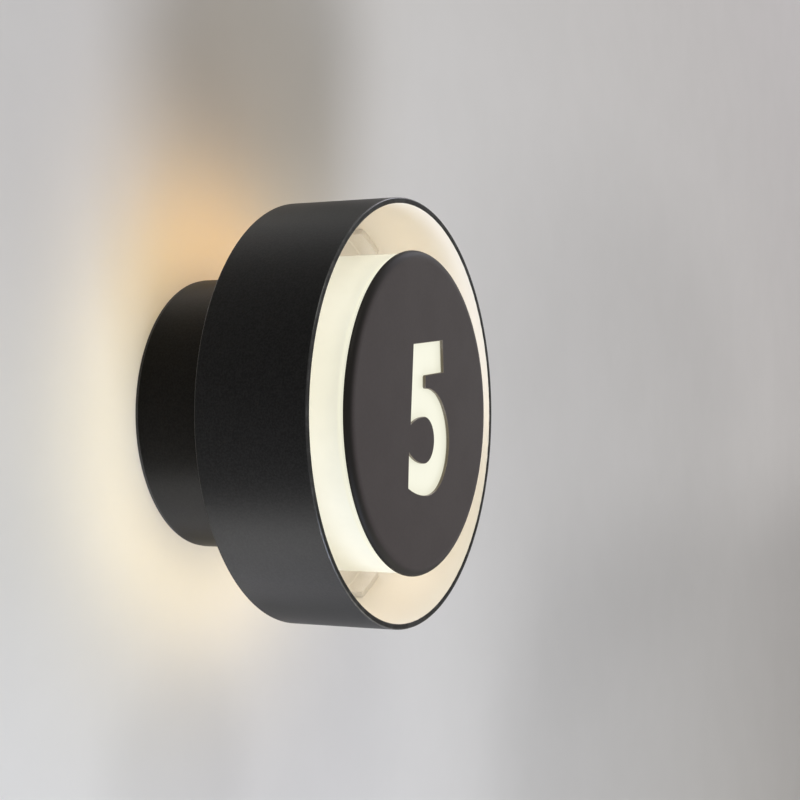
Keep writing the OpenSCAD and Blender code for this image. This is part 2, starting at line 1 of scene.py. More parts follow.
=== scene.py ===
# %% [markdown]
# # A round outdoor wall light
# The light is a black drum on the wall, a wide ring in front of it, and a lit opal cylinder in the
# ring's middle behind a dark plate with a number cut through it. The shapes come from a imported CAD
# model, so this lesson is about the finishes: powder coat, pressed sheet, opal plastic, zinc and wire.
# Everything is in metres, in the CAD's own frame, so nothing has to be fitted by eye.

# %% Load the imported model
import json
import math

import bmesh
import bpy
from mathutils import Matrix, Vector

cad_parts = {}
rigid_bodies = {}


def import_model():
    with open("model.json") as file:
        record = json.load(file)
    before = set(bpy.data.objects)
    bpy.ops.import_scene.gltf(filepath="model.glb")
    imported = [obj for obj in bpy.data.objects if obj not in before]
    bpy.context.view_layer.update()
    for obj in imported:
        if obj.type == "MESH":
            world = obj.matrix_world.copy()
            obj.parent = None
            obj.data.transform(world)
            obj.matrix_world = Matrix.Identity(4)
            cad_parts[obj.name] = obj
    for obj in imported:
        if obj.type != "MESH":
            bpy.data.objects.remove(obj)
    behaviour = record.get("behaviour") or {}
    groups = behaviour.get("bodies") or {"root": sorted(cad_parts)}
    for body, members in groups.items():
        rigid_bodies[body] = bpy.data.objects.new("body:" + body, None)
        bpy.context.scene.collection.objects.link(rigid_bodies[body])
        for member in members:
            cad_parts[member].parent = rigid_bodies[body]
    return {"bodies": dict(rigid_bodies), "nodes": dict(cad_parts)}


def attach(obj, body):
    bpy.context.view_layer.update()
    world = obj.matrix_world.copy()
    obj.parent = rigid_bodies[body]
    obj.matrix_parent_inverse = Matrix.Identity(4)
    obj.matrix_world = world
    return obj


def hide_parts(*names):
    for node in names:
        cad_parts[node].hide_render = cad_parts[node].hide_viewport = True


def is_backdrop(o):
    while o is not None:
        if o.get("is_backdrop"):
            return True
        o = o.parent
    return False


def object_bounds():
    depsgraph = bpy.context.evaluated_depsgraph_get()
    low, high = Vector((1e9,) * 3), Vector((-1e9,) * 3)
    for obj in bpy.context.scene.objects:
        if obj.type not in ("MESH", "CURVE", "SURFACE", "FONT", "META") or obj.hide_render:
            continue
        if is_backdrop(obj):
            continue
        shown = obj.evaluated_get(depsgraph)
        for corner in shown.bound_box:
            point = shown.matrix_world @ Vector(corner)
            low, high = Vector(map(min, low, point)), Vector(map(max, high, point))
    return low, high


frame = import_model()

MM = 0.001
nodes = frame["nodes"]
cad_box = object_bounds()


def at(x, depth, z):
    """A point given as x, distance out from the wall and height, in millimetres."""
    return Vector((x, -depth, z)) * MM


# %% [markdown]
# ## The camera
# The picture was taken from far left, almost level with the light and at a flat angle to the wall.
# Circles of known size pin a camera down: the rims of the ring and of the base are such circles,
# so the place, turn and lens below come from measuring them, not from moving the camera by hand.

# %% Camera
EYE = Vector((-0.7608, -0.4761, 0.0015))
TURN = math.radians(64.504)
TILT = math.radians(0.363)
LENS = 73.9
SENSOR = 36

looking = Vector((math.sin(TURN) * math.cos(TILT), math.cos(TURN) * math.cos(TILT), math.sin(TILT)))
camera = bpy.data.objects.new("camera", bpy.data.cameras.new("camera"))
camera.data.lens = LENS
camera.data.sensor_width = SENSOR
camera.location = EYE
camera.rotation_mode = "QUATERNION"
camera.rotation_quaternion = looking.to_track_quat("-Z", "Y")
bpy.context.scene.collection.objects.link(camera)
bpy.context.scene.camera = camera
print("camera looks along", [round(v, 3) for v in looking])


# %% [markdown]
# ## Helpers for materials
# A finish is a small network of nodes. A few helpers keep the cells short: one adds a node with its
# settings and inputs in a single call, three stand for the nodes that come back most, and the last
# starts a material round its Principled shader. An input that gets a socket is linked, and one that
# gets a number is set on the node itself.

# %% Node helpers
def add(tree, kind, inputs=None, **settings):
    """A node of this kind in the tree. Inputs are a dict of name or number to value or socket."""
    made = tree.nodes.new("ShaderNode" + kind)
    for key, value in settings.items():
        setattr(made, key, value)
    for key, value in (inputs or {}).items():
        if isinstance(value, bpy.types.NodeSocket):
            tree.links.new(value, made.inputs[key])
        else:
            made.inputs[key].default_value = value
    return made


def maths(tree, what, a, b=0.0, clamp=False):
    """One Math node, as the socket of its result."""
    return add(tree, "Math", {0: a, 1: b}, operation=what, use_clamp=clamp).outputs[0]


def ramp(tree, value, low, high, to_low=0.0, to_high=1.0):
    """A value spread smoothly from one range to another."""
    inputs = {"Value": value, "From Min": low, "From Max": high, "To Min": to_low, "To Max": to_high}
    return add(tree, "MapRange", inputs, interpolation_type="SMOOTHSTEP").outputs[0]


def blend_colors(tree, factor, a, b):
    """Goes from colour a to colour b with the factor. A colour is a socket or three numbers."""
    mix = add(tree, "Mix", {"Factor": factor}, data_type="RGBA")
    for place, value in ((6, a), (7, b)):
        if isinstance(value, bpy.types.NodeSocket):
            tree.links.new(value, mix.inputs[place])
        else:
            mix.inputs[place].default_value = (*value, 1)
    return mix.outputs[2]


def start_material(name, **fixed):
    """A new material with one Principled shader. Values that are the same all over are set on it here."""
    material = bpy.data.materials.new(name)
    material.use_nodes = True
    tree = material.node_tree
    shader = tree.nodes["Principled BSDF"]
    for key, value in fixed.items():
        shader.inputs[key.replace("_", " ")].default_value = value
    return material, tree, shader


# %% [markdown]
# ## Effects that several finishes share
# Grain, wear and brushing come back in many materials. Each is made once as a node group with
# named inputs, so a material places the group and gives it the sizes of its own surface.
# A group only gives out masks and heights. The shader itself stays in the material.

# %% Group helpers
def start_group(name, inputs, outputs):
    """A node group with number inputs (name to default) and number outputs."""
    tree = bpy.data.node_groups.new(name, "ShaderNodeTree")
    for socket, value in inputs.items():
        made = tree.interface.new_socket(name=socket, in_out="INPUT", socket_type="NodeSocketFloat")
        made.default_value = value
    for socket in outputs:
        tree.interface.new_socket(name=socket, in_out="OUTPUT", socket_type="NodeSocketFloat")
    return tree, tree.nodes.new("NodeGroupInput").outputs, tree.nodes.new("NodeGroupOutput").inputs


def place_group(tree, group, **inputs):
    """Places a group in a material and returns its outputs by name."""
    made = add(tree, "Group", node_tree=group)
    for key, value in inputs.items():
        socket = made.inputs[key.replace("_", " ")]
        if isinstance(value, bpy.types.NodeSocket):
            tree.links.new(value, socket)
        else:
            socket.default_value = value
    return made.outputs


def object_coordinates(tree):
    """A point's place in the CAD frame, in metres, which goes along when the piece moves."""
    return add(tree, "TexCoord").outputs["Object"]


# %% Group: where a point is on the light
TO_LIGHT = (1 / MM, -1 / MM, 1 / MM)

light_place, _, given = start_group("light place", {}, ["Radius", "Depth", "Height"])
metres = {0: object_coordinates(light_place), 1: TO_LIGHT}
point = add(light_place, "VectorMath", metres, operation="MULTIPLY")
split = add(light_place, "SeparateXYZ", {0: point.outputs[0]})
flat = add(light_place, "CombineXYZ", {"X": split.outputs["X"], "Z": split.outputs["Z"]})
reach = add(light_place, "VectorMath", {0: flat.outputs[0]}, operation="LENGTH")
light_place.links.new(reach.outputs["Value"], given["Radius"])
light_place.links.new(split.outputs["Y"], given["Depth"])
light_place.links.new(split.outputs["Z"], given["Height"])
print("group", light_place.name, "gives radius, depth and height in millimetres")


# %% [markdown]
# ### Powder grain
# A powder coat has two sizes of unevenness: a fine grain, and under it a slow mottle where the coat
# came out a little thicker. Noise gives both, and the grain's size in millimetres is an input, so
# that the same group also serves for moulded plastic, rubber and stone.

# %% Group: powder grain
PEEL_TIMES = 4.0
CLOUDS_PER_METRE = 38.0

powder_grain, wanted, given = start_group(
    "powder grain", {"Grain mm": 0.5, "Peel": 0.1}, ["Height", "Mottle"]
)
place = object_coordinates(powder_grain)
per_metre = maths(powder_grain, "DIVIDE", 1 / MM, wanted["Grain mm"])
fine = add(powder_grain, "TexNoise", {"Vector": place, "Scale": per_metre, "Detail": 2.0, "Roughness": 0.6})
peel_scale = maths(powder_grain, "DIVIDE", per_metre, PEEL_TIMES)
peel = add(powder_grain, "TexNoise", {"Vector": place, "Scale": peel_scale, "Detail": 1.0})
slow = {"Vector": place, "Scale": CLOUDS_PER_METRE, "Detail": 4.0, "Roughness": 0.55}
cloud = add(powder_grain, "TexNoise", slow)
layers = {"Factor": wanted["Peel"], 2: fine.outputs["Fac"], 3: peel.outputs["Fac"]}
height = add(powder_grain, "Mix", layers)
powder_grain.links.new(height.outputs[0], given["Height"])
mottle = ramp(powder_grain, cloud.outputs["Fac"], 0.3, 0.7)
powder_grain.links.new(mottle, given["Mottle"])
print("group", powder_grain.name, "gives a grain height and a slow mottle")


# %% [markdown]
# ### Worn line, and painted sheen
# Paint wears off first where two faces meet. The group gets a value that grows across such an edge
# and the value at the edge itself. It gives a line of that width, broken up by noise, because wear
# that is even all the way round looks drawn. On the drum the line is wear. On the ring's front lip it
# is partly wear and partly painted sheen.

# %% Group: worn edge, also painted sheen
BREAKS_PER_METRE = 160.0

wear_and_sheen_edge, wanted, given = start_group(
    "wear and sheen edge", {"Value": 0.0, "Edge": 0.0, "Width": 0.6}, ["Mask"]
)
off = maths(wear_and_sheen_edge, "ABSOLUTE", maths(wear_and_sheen_edge, "SUBTRACT", wanted["Value"], wanted["Edge"]))
near = maths(wear_and_sheen_edge, "SUBTRACT", 1.0, maths(wear_and_sheen_edge, "DIVIDE", off, wanted["Width"]), clamp=True)
broken = {"Vector": object_coordinates(wear_and_sheen_edge), "Scale": BREAKS_PER_METRE, "Detail": 3.0}
breaks = add(wear_and_sheen_edge, "TexNoise", broken)
kept = ramp(wear_and_sheen_edge, breaks.outputs["Fac"], 0.42, 0.68)
wear_and_sheen_edge.links.new(maths(wear_and_sheen_edge, "MULTIPLY", near, kept), given["Mask"])
print("group", wear_and_sheen_edge.name, "gives a broken line")


# %% [markdown]
# ### Rolled or brushed metal
# Rolling and turning leave fine lines that all run one way. Noise that is squeezed across and
# stretched along gives such lines, and a second, even noise keeps them from looking combed.

# %% Group: brushed metal
PATCHES_PER_METRE = 120.0
STREAK_SHARE = 0.55

brushed, wanted, given = start_group(
    "brushed", {"Lines per mm": 4.0, "Stretch": 30.0}, ["Height", "Streak"]
)
lines = maths(brushed, "MULTIPLY", wanted["Lines per mm"], 1 / MM)
along = maths(brushed, "DIVIDE", lines, wanted["Stretch"])
stretch = add(brushed, "CombineXYZ", {"X": along, "Y": lines, "Z": lines})
pulled = {0: object_coordinates(brushed), 1: stretch.outputs[0]}
stretched = add(brushed, "VectorMath", pulled, operation="MULTIPLY")
streaky = {"Vector": stretched.outputs[0], "Scale": 1.0, "Detail": 3.0, "Roughness": 0.65}
streaks = add(brushed, "TexNoise", streaky)
even = object_coordinates(brushed)
patchy = {"Vector": even, "Scale": PATCHES_PER_METRE, "Detail": 5.0, "Roughness": 0.7}
patches = add(brushed, "TexNoise", patchy)
shares = {"Factor": STREAK_SHARE, 2: patches.outputs["Fac"], 3: streaks.outputs["Fac"]}
both = add(brushed, "Mix", shares)
brushed.links.new(streaks.outputs["Fac"], given["Height"])
brushed.links.new(ramp(brushed, both.outputs[0], 0.3, 0.7), given["Streak"])
print("group", brushed.name, "gives fine lines along x")


# %% [markdown]
# ## Powder coat
# The drum and the outside of the ring have a fine black powder coat. Powder melts into a skin with a
# tiny leather-like grain, which breaks every reflection into a soft sheen. A bump of a few hundredths
# of a millimetre does that, and the grain's hollows are a little darker than its tops. A mirror-like
# sheen would be wrong here, so the specular level is low too. The drum is worn at its wall rim.

# %% Powder coat
HOLLOW, TOP = 0.34, 0.66


def bump(tree, shader, height, reach_mm, strength=1.0):
    """Feeds a height, 0 to 1, to the shader's normal. The reach is how deep it goes."""
    made = add(tree, "Bump", {"Height": height, "Distance": reach_mm * MM, "Strength": strength})
    tree.links.new(made.outputs[0], shader.inputs["Normal"])


def powder_coat(name, dark, light, grain_mm, depth_mm, rough, specular, uneven=0.045):
    """A coat that goes from a dark to a light tone with its grain. Callers may build on its parts."""
    material, tree, shader = start_material(name, Specular_IOR_Level=specular)
    grain = place_group(tree, powder_grain, Grain_mm=grain_mm)
    tone = blend_colors(tree, ramp(tree, grain["Height"], HOLLOW, TOP), dark, light)
    tree.links.new(tone, shader.inputs["Base Color"])
    spread = ramp(tree, grain["Mottle"], 0, 1, rough - uneven, rough + uneven)
    tree.links.new(spread, shader.inputs["Roughness"])
    bump(tree, shader, grain["Height"], depth_mm)
    return material, tree, shader, tone


BLACK = ((0.0026, 0.0026, 0.0025), (0.0084, 0.0083, 0.0081))
# painted shade: the drum's black is set darker than the ring's, for the shade it sits in behind the ring
DRUM_BLACK_SHADED = ((0.0018, 0.0018, 0.0018), (0.0056, 0.0056, 0.0055))
DRUM_WORN, DRUM_WEAR = (0.05, 0.05, 0.048), 0.5
WARM_WHITE = ((0.79, 0.765, 0.72), (0.82, 0.795, 0.75))

black_coat, tree, shader, tone = powder_coat("black powder coat", *DRUM_BLACK_SHADED, 1.0, 0.04, 0.42, 0.06, 0.003)
place = place_group(tree, light_place)
wear = place_group(tree, wear_and_sheen_edge, Value=place["Depth"], Edge=0.0, Width=0.7)
worn = blend_colors(tree, maths(tree, "MULTIPLY", wear["Mask"], DRUM_WEAR), tone, DRUM_WORN)
tree.links.new(worn, shader.inputs["Base Color"])
white_coat, *_ = powder_coat("warm white coat", *WARM_WHITE, 0.9, 0.012, 0.42, 0.5)
print("made", black_coat.name, "and", white_coat.name)


# %% [markdown]
# ## The ring's two colours
# The ring is one piece of sheet, black outside and warm white inside, where it throws the light about.
# Two meshes would leave a seam, so one material asks each point for its radius instead: inside the
# sheet's inner radius it is white, outside it is black, and the paint edge runs along the inner rim.
# The outer front rim catches the light as a thin line, so it gets a clear coat, and the front lip is
# lightened in a broken line that is partly wear and partly painted sheen.

# %% Ring coat
RING_R, RING_WALL, RING_BACK, RING_FRONT = 110.0, 3.0, 59.0, 119.0
RING_WORN_AND_SHEEN, RING_WEAR_AND_SHEEN, LIP_COAT = (0.07, 0.07, 0.067), 0.6, 0.8
WOBBLES_PER_METRE, WOBBLE = 260.0, 0.12

ring_coat, tree, shader, tone = powder_coat("ring coat", *BLACK, 1.0, 0.04, 0.42, 0.12, 0.003)
shader.inputs["Coat Roughness"].default_value = 0.2
place = place_group(tree, light_place)
uneven = {"Vector": object_coordinates(tree), "Scale": WOBBLES_PER_METRE, "Detail": 2.0}
edge_noise = add(tree, "TexNoise", uneven)
wobble = maths(tree, "MULTIPLY", maths(tree, "SUBTRACT", edge_noise.outputs["Fac"], 0.5), WOBBLE)
paint_edge = RING_R - RING_WALL
reached = maths(tree, "ADD", place["Radius"], wobble)
outside = ramp(tree, reached, paint_edge + 0.03, paint_edge + 0.12)
rim = place_group(tree, wear_and_sheen_edge, Value=place["Depth"], Edge=RING_FRONT - 0.2, Width=0.5)
# partly wear, partly painted sheen: the black is lightened along the front lip
black_side = blend_colors(tree, maths(tree, "MULTIPLY", rim["Mask"], RING_WEAR_AND_SHEEN), tone, RING_WORN_AND_SHEEN)
lip_outside = ramp(tree, place["Radius"], RING_R - 0.7, RING_R - 0.5)
lip_in_front = ramp(tree, place["Depth"], RING_FRONT - 0.8, RING_FRONT - 0.6)
lip = maths(tree, "MULTIPLY", lip_outside, lip_in_front)
tree.links.new(maths(tree, "MULTIPLY", lip, LIP_COAT), shader.inputs["Coat Weight"])
both = blend_colors(tree, outside, WARM_WHITE[1], black_side)
tree.links.new(both, shader.inputs["Base Color"])
print("made", ring_coat.name)


# %% [markdown]
# ## The number plate's coat
# The plate is pressed sheet with a smooth satin coat, warm dark grey. Against the light it shows a
# broad soft sheen. The coat has almost no grain, only a faint cloudiness and very shallow waves.
# Where the rim turns back its colour is darkened as painted shade. The cut of the number is a warm
# brown, partly its raw edge and partly painted warm light from the opal.

# %% Plate coat
PLATE = ((0.0495, 0.0410, 0.0398), (0.0535, 0.0445, 0.0432))
PLATE_RIM_SHADE = (0.013, 0.011, 0.0095)
RAW_EDGE_PAINTED_WARM = ((0.13, 0.105, 0.07), (0.17, 0.14, 0.095))
TURN_STARTS, TURN_ENDS = 78.4, 81.4

plate_coat, tree, shader, tone = powder_coat("plate coat", *PLATE, 1.4, 0.006, 0.46, 0.12, 0.02)
place = place_group(tree, light_place)
# painted shade: the rim is darkened in colour where it turns back, for the little light it gets from the
# left
rim_shade = ramp(tree, place["Radius"], TURN_STARTS, TURN_ENDS)
tree.links.new(blend_colors(tree, rim_shade, tone, PLATE_RIM_SHADE), shader.inputs["Base Color"])
# partly painted light: the bare cut is a lighter, warmer brown, for the opal's warm light on its walls
cut_edge_painted_warm, *_ = powder_coat("cut edge painted warm", *RAW_EDGE_PAINTED_WARM, 0.3, 0.01, 0.34, 0.5)
print("made", plate_coat.name, "and", cut_edge_painted_warm.name)


# %% [markdown]
# ## Opal plastic, lit from inside
# Light that has crossed three millimetres of opal plastic leaves it evenly in all directions. The
# surface itself then looks bright and almost flat, a little weaker towards the back, where the
# tray's collar shades it, and towards its top and bottom. Emission gives that, on a base colour that
# still takes the daylight. The front shows only through the number, and it glows the most.

# %% Opal
COLLAR, CLEAR_OF_COLLAR = 66.0, 100.0
LEVEL_PART, TOP_PART = 42.0, 80.0
OPAL_CORNER, OPAL_FACE = 118.8, 120.6
BACK_GLOW, SIDE_GLOW = (0.308, 0.327, 0.260), (0.352, 0.374, 0.324)
CLOUD_GLOW, TOP_GLOW, FACE_GLOW = (0.330, 0.353, 0.300), (0.272, 0.292, 0.246), (0.73, 0.725, 0.59)
OPAL_SIDE, OPAL_SIDE_PALE, OPAL_FRONT = (0.60, 0.58, 0.51), (0.64, 0.62, 0.55), (0.20, 0.195, 0.17)

opal, tree, shader = start_material(
    "opal plastic", Roughness=0.34, Emission_Strength=1.0, Specular_IOR_Level=0.4
)
place = place_group(tree, light_place)
grain = place_group(tree, powder_grain, Grain_mm=2.0)
forward = ramp(tree, place["Depth"], COLLAR, CLEAR_OF_COLLAR)
side_glow = blend_colors(tree, forward, BACK_GLOW, SIDE_GLOW)
cloudy = blend_colors(tree, maths(tree, "MULTIPLY", grain["Mottle"], 0.35), side_glow, CLOUD_GLOW)
far_up = ramp(tree, maths(tree, "ABSOLUTE", place["Height"]), LEVEL_PART, TOP_PART)
sides = blend_colors(tree, far_up, cloudy, TOP_GLOW)
front = ramp(tree, place["Depth"], OPAL_CORNER, OPAL_FACE)
tree.links.new(blend_colors(tree, front, sides, FACE_GLOW), shader.inputs["Emission Color"])
side_tone = blend_colors(tree, grain["Mottle"], OPAL_SIDE, OPAL_SIDE_PALE)
tree.links.new(blend_colors(tree, front, side_tone, OPAL_FRONT), shader.inputs["Base Color"])
bump(tree, shader, grain["Height"], 0.01)
print("made", opal.name)


# %% [markdown]
# ## Metals
# The bracket and the screws are zinc-plated steel: bright, a little cloudy, with the lines that
# rolling leaves. The earth screws are yellow like brass, so that an electrician finds them.

# %% Metals
def metal(name, dark, light, lines_per_mm, stretch, rough, depth_mm):
    """A metal with fine lines, a little rougher where the lines are light."""
    material, tree, shader = start_material(name, Metallic=1.0)
    lines = place_group(tree, brushed, Lines_per_mm=lines_per_mm, Stretch=stretch)
    tree.links.new(blend_colors(tree, lines["Streak"], dark, light), shader.inputs["Base Color"])
    tree.links.new(ramp(tree, lines["Streak"], 0, 1, rough, rough + 0.12), shader.inputs["Roughness"])
    bump(tree, shader, lines["Height"], depth_mm, 0.5)
    return material


zinc = metal("zinc plate", (0.55, 0.56, 0.57), (0.63, 0.64, 0.65), 3.0, 30.0, 0.32, 0.01)
screw_steel = metal("screw steel", (0.55, 0.55, 0.54), (0.68, 0.67, 0.65), 5.0, 2.0, 0.24, 0.006)
brass = metal("yellow brass", (0.62, 0.46, 0.20), (0.74, 0.57, 0.28), 5.0, 2.0, 0.26, 0.006)
print("made", zinc.name, screw_steel.name, brass.name)


# %% [markdown]
# ## Rubber and plastics
# Most of these sit inside the light. They still get their own finish, because a model is also looked
# at in pieces: moulded plastic has a fine spark-eroded skin, rubber is dull with a dusty bloom.

# %% Plastics
def moulded(name, dark, light, grain_mm, depth_mm, rough, specular=0.5):
    """A moulded skin is a finer powder coat."""
    material, *_ = powder_coat(name, dark, light, grain_mm, depth_mm, rough, specular)
    return material


rubber = moulded("black rubber", (0.018, 0.018, 0.018), (0.035, 0.034, 0.033), 0.35, 0.02, 0.70, 0.3)
case_plastic = moulded("case plastic", (0.62, 0.62, 0.60), (0.70, 0.70, 0.68), 0.3, 0.015, 0.48)
block_plastic = moulded("block plastic", (0.66, 0.62, 0.50), (0.72, 0.68, 0.56), 0.5, 0.01, 0.34)
nylon = moulded("white nylon", (0.70, 0.69, 0.64), (0.76, 0.75, 0.70), 0.4, 0.01, 0.42)
print("made", rubber.name, case_plastic.name, block_plastic.name, nylon.name)


# %% [markdown]
# ## The board and its LEDs
# The board is white, to lose no light, and its copper tracks show as low ridges under the lacquer.
# Rings of a sine over the radius stand for them. Each LED is a white package with a yellow lens at
# its front that glows, and the depth of a point tells the one from the other.

# %% Board and LEDs
RADIANS_PER_MM = 0.42
BOARD_WHITE, TRACK_WHITE = (0.80, 0.80, 0.78), (0.70, 0.71, 0.69)

board, tree, shader = start_material("white circuit board", Roughness=0.3)
place = place_group(tree, light_place)
grain = place_group(tree, powder_grain, Grain_mm=0.25)
turned = maths(tree, "MULTIPLY", place["Radius"], RADIANS_PER_MM)
turns = maths(tree, "ABSOLUTE", maths(tree, "SINE", turned))
track = ramp(tree, turns, 0.80, 0.86)
tree.links.new(blend_colors(tree, track, BOARD_WHITE, TRACK_WHITE), shader.inputs["Base Color"])
bump(tree, shader, maths(tree, "ADD", track, maths(tree, "MULTIPLY", grain["Height"], 0.2)), 0.03)

LED_FLOOR_MM = 68.3
LENS_TONES = ((0.86, 0.66, 0.16), (0.92, 0.74, 0.24))
PACKAGE, LED_GLOW, NO_GLOW = (0.85, 0.84, 0.80), (1.0, 0.86, 0.55), (0.0, 0.0, 0.0)

leds, tree, shader = start_material("lit leds", Roughness=0.4, Emission_Strength=1.0)
place = place_group(tree, light_place)
grain = place_group(tree, powder_grain, Grain_mm=0.3)
package = ramp(tree, place["Depth"], LED_FLOOR_MM, LED_FLOOR_MM + 0.05)
lens = blend_colors(tree, grain["Mottle"], *LENS_TONES)
tree.links.new(blend_colors(tree, package, lens, PACKAGE), shader.inputs["Base Color"])
tree.links.new(blend_colors(tree, package, LED_GLOW, NO_GLOW), shader.inputs["Emission Color"])
bump(tree, shader, grain["Height"], 0.008)
print("made", board.name, leds.name)


# %% [markdown]
# ## Giving each solid its finish
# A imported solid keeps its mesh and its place. Only its material changes, so a table of names is
# enough. Smooth shading belongs on the round faces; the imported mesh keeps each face's own corners,
# so turning it on doesn't blur the sharp edges between faces.

# %% Assign the finishes
FINISHES = {
    black_coat: ["base_cup"],
    ring_coat: ["shade_ring"],
    white_coat: ["shade_arms", "led_tray"],
    plate_coat: ["face_plate"],
    opal: ["diffuser"],
    zinc: ["wall_bracket"],
    screw_steel: [
        "lock_screw_top", "lock_screw_bottom", "driver_screws", "terminal_screws",
        "tray_screws", "board_screws", "face_studs", "face_nuts",
    ],
    brass: ["bracket_earth_screw", "housing_earth_screw"],
    rubber: ["cable_grommet", "wall_gasket", "lead_grommet", "tray_seal"],
    case_plastic: ["driver_case"],
    block_plastic: ["terminal_block"],
    nylon: ["board_connector"],
    board: ["led_board"],
    leds: ["leds"],
}
for material, names in FINISHES.items():
    for name in names:
        mesh = nodes[name].data
        mesh.materials.clear()
        mesh.materials.append(material)
        mesh.polygons.foreach_set("use_smooth", [True] * len(mesh.polygons))
print("finished", sum(len(n) for n in FINISHES.values()), "solids")


# %% [markdown]
# ## The pressed number plate
# Real sheet never has knife edges: the press rolls the rim over a large radius, and the punch leaves
# the cut of the number with a short straight wall and a break behind it. The edges are what catch the
# light, so the plate is built again as a fine mesh, with a rim a little shallower than in the CAD. It
# is a stack of rings: round the rim outside, round the number inside, and two flat webs that join
# them in front and behind.

# %% Outline of the number
def arc(cx, cy, r, start, end, steps):
    """Points along an arc between two angles in degrees."""
    turn = [math.radians(start + (end - start) * i / steps) for i in range(steps + 1)]
    return [(cx + r * math.cos(a), cy + r * math.sin(a)) for a in turn]


NUMBER_X, NUMBER_Z = 6.0, -2.0
FLAG = [(-18.5, 36.8), (16.8, 40.0), (18.0, 23.5), (-4.6, 21.4), (-4.6, 14.7)]
BOWL_X, BOWL_Z, BOWL_R = -2.2, -12.7, 27.3
HOLLOW_X, HOLLOW_Z, HOLLOW_R = -5.6, -11.7, 12.0
FOOT_R, LOW_TIP_R, TOP_TIP_R = 58.0, 32.0, 38.0
SAME_PLACE = 0.01

number = (
    FLAG
    + arc(BOWL_X, BOWL_Z, BOWL_R, 85, -90, 56)
    + arc(BOWL_X, BOWL_Z - BOWL_R + FOOT_R, FOOT_R, -90, -113, 10)
    + arc(HOLLOW_X, HOLLOW_Z - HOLLOW_R + LOW_TIP_R, LOW_TIP_R, -125, -90, 12)
    + arc(HOLLOW_X, HOLLOW_Z, HOLLOW_R, -90, 90, 32)
    + arc(HOLLOW_X, HOLLOW_Z + HOLLOW_R - TOP_TIP_R, TOP_TIP_R, 90, 115.5, 12)
)
number = [p for i, p in enumerate(number) if math.dist(p, number[i - 1]) > SAME_PLACE]
number = [(x + NUMBER_X, z + NUMBER_Z) for x, z in number]
print("the number has", len(number), "corners")


# %% [markdown]
# ### Moving an outline outwards
# The rounding and the break of the cut are the same outline again, a little larger at each depth. Each
# corner moves along the middle of its two sides' directions, and further the sharper it is, so that
# every side moves by the same distance.

# %% Grown outline
SHARPEST = 0.35


def grown(outline, by):
    """The outline moved outwards by a distance, with mitred corners."""
    area = sum(a[0] * b[1] - b[0] * a[1] for a, b in zip(outline, outline[1:] + outline[:1]))
    side = 1 if area > 0 else -1
    made = []
    for i, (x, z) in enumerate(outline):
        before, after = outline[i - 1], outline[(i + 1) % len(outline)]
        ways = []
        for p, q in ((before, (x, z)), ((x, z), after)):
            length = math.dist(p, q)
            ways.append(((q[1] - p[1]) / length * side, -(q[0] - p[0]) / length * side))
        mx, mz = ways[0][0] + ways[1][0], ways[0][1] + ways[1][1]
        share = 2 / max(mx * mx + mz * mz, SHARPEST)
        made.append((x + mx * share * by, z + mz * share * by))
    return made


print("a corner moves", round(math.dist(number[0], grown(number, 1.0)[0]), 2), "mm for each mm")


# %% [markdown]
# ### From rings to a mesh
# Both the plate and the ring are turned shapes, so a few helpers serve them all: a circle of corners
# at a radius and depth, a band of faces between two rings, and a flat web that fills what is between
# two rings. The last makes the object, with the outside of each face to the outside.

# %% Mesh helpers
def bend(cx, cd, wide, deep, start, end, steps):
    """Radius and depth along a part of an ellipse, between two angles."""
    turns = [math.radians(start + (end - start) * i / steps) for i in range(steps + 1)]
    return [(cx + wide * math.cos(a), cd + deep * math.sin(a)) for a in turns]


def circle(bm, radius, depth, around):
    """Corners all the way round the light's axis, at a radius and a depth."""
    turns = [math.tau * i / around for i in range(around)]
    return [bm.verts.new(at(radius * math.cos(a), depth, radius * math.sin(a))) for a in turns]


def join_rings(bm, first, second, slot=0):
    """A band of faces between two closed rings."""
    count = len(first)
    for i in range(count):
        j = (i + 1) % count
        face = bm.faces.new((first[i], first[j], second[j], second[i]))
        face.smooth, face.material_index = True, slot


def web(bm, outer, inner):
    """Fills the flat space between two rings."""
    edges = [bm.edges.get((r[i], r[(i + 1) % len(r)])) for r in (outer, inner) for i in range(len(r))]
    bmesh.ops.triangle_fill(bm, use_beauty=True, use_dissolve=False, edges=edges)


def finished(bm, name, *materials):
    """The mesh as an object in the scene, with these materials in order."""
    bmesh.ops.recalc_face_normals(bm, faces=bm.faces)
    mesh = bpy.data.meshes.new(name)
    bm.to_mesh(mesh)
    bm.free()
    for material in materials:
        mesh.materials.append(material)
    made = bpy.data.objects.new(name, mesh)
    bpy.context.scene.collection.objects.link(made)
    return made


# %% Build the plate
PLATE_R, PLATE_FRONT, SHEET = 83.0, 127.0, 2.0
EDGE_WIDE, EDGE_DEEP = 6.0, 3.8
CUT_R, LIP_R = 0.3, 0.4
CUT_WALL, BREAK = 1.2, 0.9
WALL_HOLD, BREAK_STARTS = 0.05, (0.04, 0.02)
AROUND = 288

